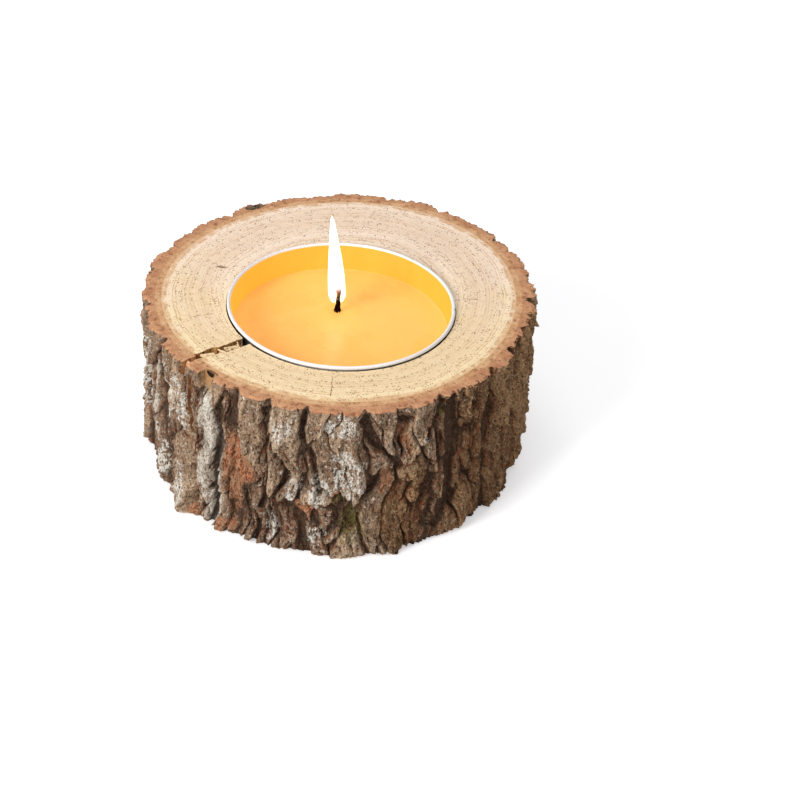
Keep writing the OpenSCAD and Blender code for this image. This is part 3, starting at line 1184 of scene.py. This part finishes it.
class BarkProfile(Profile):
    """A section of the furrowed outer bark."""

    layers = ("relief", "tone", "lichen", "rust", "pale", "moss", "damp", "fresh")

    def at(self, direction, row, column, columns):
        """Place and finish of the bark at a direction and a row."""
        height, out = self.step(row)
        thick, finish = bark_surface(direction, height)
        drift = wander(direction, height)
        side = -1 if column == columns and abs(turn(direction, SEAM_DIR)) < 0.01 else 1
        if column > columns / 2 and turn(direction, SEAM_DIR) < 0:
            side = -1
        opening = side * bark_crack(direction, height)
        at = direction + drift + math.degrees(opening / BARK_RADIUS)
        base = inner_bark_edge(at)
        radius = base + thick * out
        place = polar(radius, at, height)
        if row <= self.outside:
            # Plates hang: what stands proud of its neighbours sags a little.
            sag = 0.45 * (thick - 2.4) * smooth(0, 5, height) * smooth(SLICE_H, SLICE_H - 4, height)
            place.z -= sag
            foot = smooth(1.2, 0, height)
            place.z += foot * max(0, 0.9 * grain(place, 2.4, 81, 3))
        elif height == SLICE_H:
            middle, along, across = HOLLOW
            aside = turn(direction, middle) * DEGREE
            reach = math.hypot(aside / along, (radius - base - 2) / across)
            place.z -= 2.6 * smooth(1, 0.4, reach)
            chipped = smooth(0.72, 1, out) * (0.25 + 0.3 * grain(place, 1.3, 91, 3))
            place.z -= max(0, chipped) + 0.05 * abs(grain(place, 0.9, 95, 2))
        if row == self.outside:
            place.z -= 0.25 + 0.25 * max(-1, grain(place, 1.3, 91, 3))
        return place, finish


class InnerProfile(Profile):
    """A section of the smooth inner bark."""

    def at(self, direction, row, column, columns):
        """Place of the inner bark at a direction and a row."""
        height, out = self.step(row)
        side = -1 if turn(direction, SEAM_DIR) < 0 or column == columns else 1
        opening = side * bark_crack(direction, height)
        at = direction + wander(direction, height) * out
        at += math.degrees(opening / INNER_BARK_RADIUS)
        thick = bpy.context.scene.log_sizes.inner / MM
        radius = wood_edge(at) + thick * out * (1 - 0.55 * beetle_share(direction, height))
        place = polar(radius, at, height)
        if height == SLICE_H:
            place.z -= 0.02 + 0.04 * abs(grain(place, 1.2, 95, 2))
        return place, {}


def build_inner_bark():
    """The thin living bark round the wood."""
    columns = 900
    tones = bpy.context.scene.log_colours
    bm = ring_mesh(SEAM_DIR, SEAM_DIR + 360, columns, InnerProfile(12, 6, 6, 2))
    # The strip's two end caps, which face into the crack, are torn.
    for face in bm.faces:
        face.material_index = 1 if len(face.verts) > 4 else 0
    sawn = cut_bark("cut_inner_bark", tones.inner[:], linear("#e2b78c"), linear("#b87d55"))
    finishes = [sawn, torn_bark()]
    return finish_mesh(bm, "inner_bark_ring", finishes, "holder", "inner_bark", "inner_bark")


def build_outer_bark():
    """The corky outer bark, in pieces that meet in its furrows."""
    tones = bpy.context.scene.log_colours
    weathered = weathered_bark()
    cut = cut_bark("cut_outer_bark", tones.cut[:], linear("#d6a27a"), linear("#a4623f"))
    torn = torn_bark()
    profile = BarkProfile(176, 14, 5, 3)
    spacing = 0.3
    for name, (start, end) in BARK_PIECES.items():
        columns = round((end - start) / spacing)
        bm = ring_mesh(start, end, columns, profile)
        bm.normal_update()
        for face in bm.faces:
            middle = face.calc_center_median()
            level = min(vert.co.z for vert in face.verts)
            flat = level > SLICE_H - CHIP_DEPTH and abs(face.normal.z) > 0.75
            on_table = middle.z < 0.02
            face.material_index = 1 if flat or on_table else 0
            if len(face.verts) > 4:
                face.material_index = 2
        finish_mesh(bm, name, [weathered, cut, torn], "holder", "outer_bark", "outer_bark")


# ---------------------------------------------------------------- the tealight's pieces


def aluminium(name, painted_reflection):
    """Bright drawn sheet with a painted highlight on its rim, or the same sheet with the wax's
    reflection painted into its colour and a painted glow.
    """
    tones = bpy.context.scene.tealight_colours
    material, tree = new_material(name)
    place = millimetres(tree)
    drawn = speckle(tree, place, 1.6, 2, 0.5, (1, 1, 10))
    scuffs = span(tree, speckle(tree, place, 0.5, 4, 0.7), 0.6, 0.75)
    if painted_reflection:
        # The inner wall's deep orange is a painted reflection of the wax, and its emission is a
        # painted glow that evens out its light and shade.
        clouds = span(tree, speckle(tree, place, 7, 3, 0.6), 0.35, 0.7)
        tint = blend(tree, clouds, tones.painted_reflection[:], linear("#ba7833"))
        surface(
            tree, height=drawn, strength=0.05, reach=0.1, Base_Color=tint, Metallic=0.0,
            Roughness=scaled(tree, drawn, 0.1, 0.45), Specular_IOR_Level=0.2,
            Emission_Color=linear("#ffb336"), Emission_Strength=0.8,
        )
        return material
    # The rim is near-white and barely metallic, a painted highlight on the aluminium bead. Below it
    # the sheet is grey and metallic.
    tint = blend(tree, times(tree, scuffs, 0.5), tones.metal_and_highlight[:], linear("#b9bcc2"))
    below = span(tree, axes(tree, place)[2], CUP_TOP_Z - 1.2, CUP_TOP_Z - 2)
    bare = blend(tree, span(tree, drawn, 0.35, 0.65), linear("#adb0b4"), linear("#b9bcc0"))
    tint = blend(tree, below, tint, bare)
    surface(
        tree, height=drawn, strength=0.03, reach=0.05, Base_Color=tint,
        Metallic=scaled(tree, below, 0.75, 0.15),
        Roughness=scaled(tree, drawn, 0.2, 0.2),
    )
    return material


def build_cup():
    """The drawn cup with its rolled rim."""
    cup = bpy.context.scene.tealight_sizes
    steps = 288
    rim = (CUP_HIGH.x - CUP_LOW.x) / 2 / MM
    height = CUP_TOP_Z - CUP_FLOOR_Z
    sheet, bead = cup.sheet / MM, cup.bead / MM / 2
    wall_top = cup.wall / MM
    wall_floor = wall_top - cup.draft / MM
    turns = [math.radians(angle) for angle in range(-120, 181, 20)]
    round_bead = [
        (rim - bead + bead * math.cos(a), height - bead + bead * math.sin(a)) for a in turns
    ]
    corner = 1.2
    points = [(0, 0), (wall_floor - corner, 0), (wall_floor - 0.3, 0.3), (wall_floor, corner)]
    points += [(wall_top, height - 2 * bead - 0.3)] + round_bead
    points += [(wall_top - sheet, height - 2 * bead), (wall_top - sheet - 0.05, height * 0.5)]
    points += [(wall_floor - sheet, corner), (wall_floor - sheet - corner, sheet), (0, sheet)]
    bm = bmesh.new()
    turned_profile(bm, points, steps)
    for vert in bm.verts:
        direction = math.degrees(math.atan2(vert.co.y, vert.co.x))
        near_rim = smooth(height - 4, height, vert.co.z)
        wave = 0.07 * grain(polar(6, direction), 3.2, 3, 2)
        wave += 0.03 * grain(polar(24, direction), 2.2, 9, 2)
        nick = math.exp(-((turn(direction, 359) / 0.9) ** 2))
        out = Vector((vert.co.x, vert.co.y, 0))
        if out.length > 1:
            vert.co += out.normalized() * near_rim * (wave - 0.16 * nick)
        vert.co.z += near_rim * (0.5 * wave - 0.12 * nick)
    bmesh.ops.recalc_face_normals(bm, faces=bm.faces)
    inside = wall_top + 0.02
    for face in bm.faces:
        middle = face.calc_center_median()
        within = middle.xy.length < inside and sheet * 0.6 < middle.z < height - bead
        inward = face.normal.xy.dot(middle.xy) < 0 or face.normal.z > 0.5
        face.material_index = 1 if within and inward else 0
    bmesh.ops.translate(bm, vec=(CUP_MIDDLE.x, CUP_MIDDLE.y, CUP_FLOOR_Z), verts=bm.verts)
    finishes = [aluminium("bright_aluminium", False), aluminium("waxed_aluminium", True)]
    return finish_mesh(bm, "tealight_cup", finishes, "candle", "cup_aluminium", "candle_cup")


def beeswax():
    """Melted beeswax: glossy and slightly clear, with faint drifts of colour."""
    tones = bpy.context.scene.tealight_colours
    material, tree = new_material("melted_beeswax")
    place = millimetres(tree)
    drift = span(tree, speckle(tree, place, 16, 3, 0.55), 0.3, 0.7)
    tint = blend(tree, drift, tones.wax[:], linear("#f3b662"))
    specks = span(tree, speckle(tree, place, 0.5, 1, 0.5), 0.80, 0.84)
    tint = blend(tree, times(tree, specks, 0.5), tint, linear("#b86a10"))
    ripple = speckle(tree, place, 8, 2, 0.5)
    # The wax's emission is a painted glow that stands in for the flame's light on it.
    surface(
        tree, height=ripple, strength=0.12, reach=0.5, Base_Color=tint,
        Roughness=scaled(tree, drift, 0.08, 0.24),
        Subsurface_Weight=0.3, Subsurface_Radius=(4, 1.6, 0.5), Subsurface_Scale=MM,
        IOR=1.44, Specular_IOR_Level=0.2, Emission_Color=tint, Emission_Strength=0.3,
    )
    return material


def build_wax():
    """The wax, level on top, climbing its wall and its wick a little."""
    cup = bpy.context.scene.tealight_sizes
    steps = 240
    top = WAX_TOP_Z - CUP_FLOOR_Z
    climb = cup.meniscus / MM
    wall = (WAX_HIGH.x - WAX_LOW.x) / 2 / MM
    rings = 60
    points = [(0, cup.sheet / MM), (wall - 1.6, cup.sheet / MM), (wall - 0.55, 1.6)]
    points += [(wall - 0.01, top + climb)]
    points += [(wall * (1 - (i / rings) ** 1.6), top) for i in range(1, rings)] + [(0, top)]
    bm = bmesh.new()
    turned_profile(bm, points, steps)
    at_wick = (WICK_MIDDLE - CUP_MIDDLE).xy
    for vert in bm.verts:
        if vert.co.z > top - 0.01:
            from_wall = wall - vert.co.xy.length
            from_wick = (vert.co.xy - at_wick).length
            vert.co.z = top + climb * math.exp(-max(0, from_wall) / 0.5)
            vert.co.z += 0.1 * math.exp(-from_wick / 0.8) + 0.02 * grain(vert.co, 7, 3, 2)
    bmesh.ops.translate(bm, vec=(CUP_MIDDLE.x, CUP_MIDDLE.y, CUP_FLOOR_Z), verts=bm.verts)
    return finish_mesh(bm, "beeswax_fill", [beeswax()], "candle", "candle_wax", "wax")


def charred_wick():
    """Charred cotton, glowing towards its tip."""
    grit_group()
    tones = bpy.context.scene.tealight_colours
    material, tree = new_material("charred_wick")
    place = millimetres(tree)
    grit = use_group(tree, "Fine grit", Place=place, Size=0.3)
    wavy = scaled(tree, calc(tree, "SUBTRACT", grit["Height"], 0.5), 1.6, axes(tree, place)[2])
    glow = span(tree, wavy, WICK_TOP_Z - 2.9, WICK_TOP_Z - 1.6)
    tint = blend(tree, glow, tones.char[:], linear("#38100a"))
    ember = blend(tree, glow, (0, 0, 0), tones.ember[:])
    surface(
        tree, height=grit["Height"], strength=0.9, reach=0.15, Base_Color=tint,
        Roughness=0.95, Specular_IOR_Level=0.05, Emission_Color=ember, Emission_Strength=0.08,
    )
    return material


def build_wick():
    """Three twisted strands of charred cotton, frayed at the foot, with a knob at the tip."""
    strand = bpy.context.scene.tealight_sizes.strand / MM
    bm = bmesh.new()
    low = CUP_FLOOR_Z + 0.6
    steps = 46
    for turn_at in (0, 120, 240):
        stations = []
        for step in range(steps + 1):
            share = step / steps
            height = low + (WICK_TOP_Z - 0.35 - low) * share
            out_wax = (height - WAX_TOP_Z) / (WICK_TOP_Z - WAX_TOP_Z)
            spread = 0.46 - 0.24 * smooth(0.1, 0.62, out_wax)
            spread += 0.16 * smooth(0.66, 0.85, out_wax)
            spread -= 0.22 * smooth(0.88, 1, out_wax)
            waist, knob = smooth(0.2, 0.65, out_wax), smooth(0.66, 0.85, out_wax)
            thick = strand * (1 - 0.3 * waist + 0.75 * knob)
            thick *= 1 - 0.55 * smooth(0.93, 1, out_wax)
            stray = 0.08 * noise.noise_vector(Vector((turn_at, height, 0)) / 1.5)
            lean = 0.25 * smooth(0, 1, out_wax)
            middle = Vector((WICK_MIDDLE.x + lean, WICK_MIDDLE.y, height)) + stray
            middle += polar(spread, turn_at + WICK_TWIST * (height - low))
            stations.append((middle, thick * (1 + 0.12 * noise.noise(middle / 0.35))))
        swept_tube(bm, stations, 14)
    for frayed in range(7):
        middle = Vector((WICK_MIDDLE.x, WICK_MIDDLE.y, 0))
        foot = middle + polar(0.9, 52 * frayed + 10, WAX_TOP_Z - 0.1)
        tip = middle + polar(0.3, 52 * frayed + 10, WAX_TOP_Z + 2.6)
        swept_tube(bm, [(foot.lerp(tip, s / 5), 0.16 - 0.02 * s) for s in range(6)], 6)
    for vert in bm.verts:
        vert.co += 0.05 * noise.noise_vector(vert.co / 0.25)
    return finish_mesh(bm, "braided_wick", [charred_wick()], "candle", "charred_cotton", "wick")


def tinplate():
    """Pressed tinplate for the wick's foot."""
    tones = bpy.context.scene.tealight_colours
    material, tree = new_material("tinplate")
    place = millimetres(tree)
    rolled = speckle(tree, place, 0.4, 4, 0.6, (8, 1, 1))
    spots = span(tree, speckle(tree, place, 1.4, 4, 0.7), 0.55, 0.72)
    tint = blend(tree, times(tree, spots, 0.4), tones.tin[:], linear("#8d8f90"))
    surface(
        tree, height=rolled, strength=0.3, reach=0.08, Base_Color=tint, Metallic=1.0,
        Roughness=scaled(tree, rolled, 0.3, 0.2),
    )
    return material


def flame_glow():
    """White-hot gas, yellower at its ends and clear round the wick."""
    tones = bpy.context.scene.tealight_colours
    material, tree = new_material("flame_glow")
    place = millimetres(tree)
    side, _, up = axes(tree, place)
    foot, tip = FLAME_LOW.z / MM, FLAME_HIGH.z / MM
    rise = plus(tree, up, times(tree, speckle(tree, place, 3, 2), 0.8))
    body = span(tree, rise, foot + 3.6, foot + 6.8)
    ends = calc(tree, "MAXIMUM", span(tree, rise, foot + 2, foot), span(tree, rise, tip - 3, tip))
    glow = blend(tree, ends, tones.flame[:], tones.flame_edge[:])
    # The front of the flame is clear round the wick, its far side glows behind it.
    beside = calc(tree, "ABSOLUTE", calc(tree, "SUBTRACT", side, WICK_MIDDLE.x + 0.1))
    beside = span(tree, beside, 0.5, 0.95)
    behind = put(tree, "ShaderNodeNewGeometry").outputs["Backfacing"]
    behind = times(tree, behind, span(tree, up, foot + 1.0, foot + 1.6))
    shell = calc(tree, "MAXIMUM", calc(tree, "MAXIMUM", body, beside), behind)
    surface(
        tree, Base_Color=glow, Roughness=0.6, Specular_IOR_Level=0.0,
        Emission_Color=glow, Emission_Strength=1.6,
        Alpha=scaled(tree, shell, 0.98, 0.02),
    )
    return material


def build_flame():
    """The flame: a slender drop that stands round the tip of the wick and leans left."""
    bm = bmesh.new()
    # The foot reaches a little below the CAD flame, and the tip ends a little under its tip.
    foot = FLAME_LOW.z / MM - 1.2
    tall = FLAME_HIGH.z / MM - foot - 1.1
    wide = 4.4
    tip = FLAME_LOW.x / MM + 1.3
    steps = 60
    stations = []
    for step in range(steps + 1):
        share = 0.0005 + 0.9985 * (step / steps) ** 1.3
        radius = wide / 2 * min(1, (share / 0.1) ** 0.36) * (1 - smooth(0.16, 1.25, share)) ** 0.9
        radius *= min(1, ((1 - share) / 0.06) ** 0.5)
        bow = share ** 1.25
        x = WICK_MIDDLE.x - 0.15 + (tip - WICK_MIDDLE.x) * bow
        stations.append((Vector((x, WICK_MIDDLE.y, foot + tall * share)), max(0.05, radius)))
    swept_tube(bm, stations, 48)
    for vert in bm.verts:
        # The foot of the flame turns in round the wick, so that it has a lobe on each side.
        near = math.exp(-((vert.co.x - WICK_MIDDLE.x) ** 2) / 0.5)
        vert.co.z += 1.5 * near * smooth(foot + 3.5, foot, vert.co.z)
    return finish_mesh(bm, "candle_flame", [flame_glow()], "candle", "flame", "flame")


# ---------------------------------------------------------------- stage


def floor_finish():
    """A plain white table."""
    material, tree = new_material("white_table")
    place = millimetres(tree)
    tint = blend(tree, speckle(tree, place, 40, 3), linear("#f4f5f8"), linear("#fafafc"))
    surface(
        tree, Base_Color=tint, Roughness=0.7, Specular_IOR_Level=0.1,
        Emission_Color=(1, 1, 1), Emission_Strength=0.42,
    )
    return material


def add_lamp(name, place, wide, power, tint):
    """A soft square lamp aimed at the log, in metres."""
    lamp = bpy.data.lights.new(name, "AREA")
    lamp.size = wide
    lamp.energy = power
    lamp.color = tint
    holder = bpy.data.objects.new(name, lamp)
    bpy.context.scene.collection.objects.link(holder)
    holder.location = place
    aim = Vector((0, 0, 0.03)) - Vector(place)
    holder.rotation_euler = aim.to_track_quat("-Z", "Y").to_euler()


def add_camera():
    """The camera: 34 degrees above the table, rolled a little, aimed right of and below the cup."""
    elevation, roll = math.radians(34.1), math.radians(2.7)
    distance, aim_right, aim_down = 545, 15.4, 15.9
    anchor = Vector((CUP_MIDDLE.x, CUP_MIDDLE.y, 35))
    look = Vector((0, math.cos(elevation), -math.sin(elevation)))
    right = Vector((1, 0, 0))
    up = right.cross(look)
    across = right * math.cos(roll) + up * math.sin(roll)
    up = up * math.cos(roll) - right * math.sin(roll)
    eye = anchor - look * distance
    aim = anchor + across * aim_right - up * aim_down
    ahead = (aim - eye).normalized()
    level = (up - ahead * up.dot(ahead)).normalized()
    turned = Matrix((ahead.cross(level), level, -ahead)).transposed()
    camera = bpy.data.cameras.new("studio_camera")
    camera.lens = 95.6
    camera.sensor_width = 36
    camera.clip_start = 0.01
    holder = bpy.data.objects.new("studio_camera", camera)
    holder.matrix_world = Matrix.Translation(eye * MM) @ turned.to_4x4()
    bpy.context.scene.collection.objects.link(holder)
    bpy.context.scene.camera = holder


def build_stage():
    """White table, soft lamps and the camera."""
    bm = bmesh.new()
    bmesh.ops.create_grid(bm, x_segments=2, y_segments=2, size=6000)
    bmesh.ops.scale(bm, vec=(MM, MM, MM), verts=bm.verts)
    mesh = bpy.data.meshes.new("white_table")
    bm.to_mesh(mesh)
    bm.free()
    mesh.materials.append(floor_finish())
    table = bpy.data.objects.new("white_table", mesh)
    bpy.context.scene.collection.objects.link(table)

    scene = bpy.context.scene
    world = bpy.data.worlds.new("studio")
    world.use_nodes = True
    background = world.node_tree.nodes["Background"].inputs
    background["Color"].default_value = (1, 1, 1, 1)
    background["Strength"].default_value = 0.3
    scene.world = world
    add_lamp("key_lamp", (-0.82, -0.78, 0.62), 0.55, 14.0, (1, 0.985, 0.96))
    add_lamp("top_lamp", (0.0, 0.15, 1.1), 0.8, 4.3, (1, 1, 1))
    add_lamp("fill_lamp", (0.9, -0.7, 0.5), 0.8, 0.8, (0.95, 0.97, 1))
    scene.view_settings.view_transform = "Standard"
    add_camera()


# ---------------------------------------------------------------- operators and panel


class TEALIGHT_OT_wood(bpy.types.Operator):
    """Builds the sawn wood with its crack"""

    bl_idname = "tealight.wood"
    bl_label = "Wood"

    def execute(self, context):
        build_wood()
        return {"FINISHED"}


class TEALIGHT_OT_inner_bark(bpy.types.Operator):
    """Builds the inner bark"""

    bl_idname = "tealight.inner_bark"
    bl_label = "Inner bark"

    def execute(self, context):
        build_inner_bark()
        return {"FINISHED"}


class TEALIGHT_OT_outer_bark(bpy.types.Operator):
    """Builds the outer bark in its four pieces"""

    bl_idname = "tealight.outer_bark"
    bl_label = "Outer bark"

    def execute(self, context):
        build_outer_bark()
        return {"FINISHED"}


class TEALIGHT_OT_cup(bpy.types.Operator):
    """Builds the aluminium cup"""

    bl_idname = "tealight.cup"
    bl_label = "Cup"

    def execute(self, context):
        build_cup()
        return {"FINISHED"}


class TEALIGHT_OT_wax(bpy.types.Operator):
    """Builds the melted wax"""

    bl_idname = "tealight.wax"
    bl_label = "Wax"

    def execute(self, context):
        build_wax()
        return {"FINISHED"}


class TEALIGHT_OT_wick(bpy.types.Operator):
    """Builds the wick and finishes its tin foot"""

    bl_idname = "tealight.wick"
    bl_label = "Wick and foot"

    def execute(self, context):
        build_wick()
        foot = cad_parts["wick_foot"]
        foot.data.materials.clear()
        foot.data.materials.append(tinplate())
        return {"FINISHED"}


class TEALIGHT_OT_flame(bpy.types.Operator):
    """Builds the flame"""

    bl_idname = "tealight.flame"
    bl_label = "Flame"

    def execute(self, context):
        build_flame()
        return {"FINISHED"}


class TEALIGHT_OT_stage(bpy.types.Operator):
    """Sets the white table, the lamps and the camera"""

    bl_idname = "tealight.stage"
    bl_label = "Stage"

    def execute(self, context):
        build_stage()
        return {"FINISHED"}


OPERATORS = [
    TEALIGHT_OT_wood,
    TEALIGHT_OT_inner_bark,
    TEALIGHT_OT_outer_bark,
    TEALIGHT_OT_cup,
    TEALIGHT_OT_wax,
    TEALIGHT_OT_wick,
    TEALIGHT_OT_flame,
    TEALIGHT_OT_stage,
]


class TEALIGHT_PT_panel(bpy.types.Panel):
    """Lists the tealight holder's pieces, sizes and colours"""

    bl_idname = "TEALIGHT_PT_panel"
    bl_label = "Tealight Holder"
    bl_space_type = "VIEW_3D"
    bl_region_type = "UI"
    bl_category = "Tealight Holder"

    def draw(self, context):
        layout = self.layout
        for operator in OPERATORS:
            layout.operator(operator.bl_idname)
        for group in PROPERTY_GROUPS:
            box = layout.box()
            values = getattr(context.scene, group)
            for prop in values.bl_rna.properties:
                if prop.identifier not in ("rna_type", "name"):
                    box.prop(values, prop.identifier)


PROPERTY_GROUPS = {
    "log_sizes": LogSizes,
    "tealight_sizes": TealightSizes,
    "log_colours": LogColours,
    "tealight_colours": TealightColours,
}


def register():
    for name, group in PROPERTY_GROUPS.items():
        bpy.utils.register_class(group)
        setattr(bpy.types.Scene, name, PointerProperty(type=group))
    for operator in OPERATORS:
        bpy.utils.register_class(operator)
    bpy.utils.register_class(TEALIGHT_PT_panel)


def unregister():
    bpy.utils.unregister_class(TEALIGHT_PT_panel)
    for operator in reversed(OPERATORS):
        bpy.utils.unregister_class(operator)
    for name, group in PROPERTY_GROUPS.items():
        delattr(bpy.types.Scene, name)
        bpy.utils.unregister_class(group)


def main():
    """Builds every piece and the stage."""
    register()
    bpy.ops.tealight.wood()
    bpy.ops.tealight.inner_bark()
    bpy.ops.tealight.outer_bark()
    bpy.ops.tealight.cup()
    bpy.ops.tealight.wax()
    bpy.ops.tealight.wick()
    bpy.ops.tealight.flame()
    bpy.ops.tealight.stage()


if __name__ == "__main__":
    main()
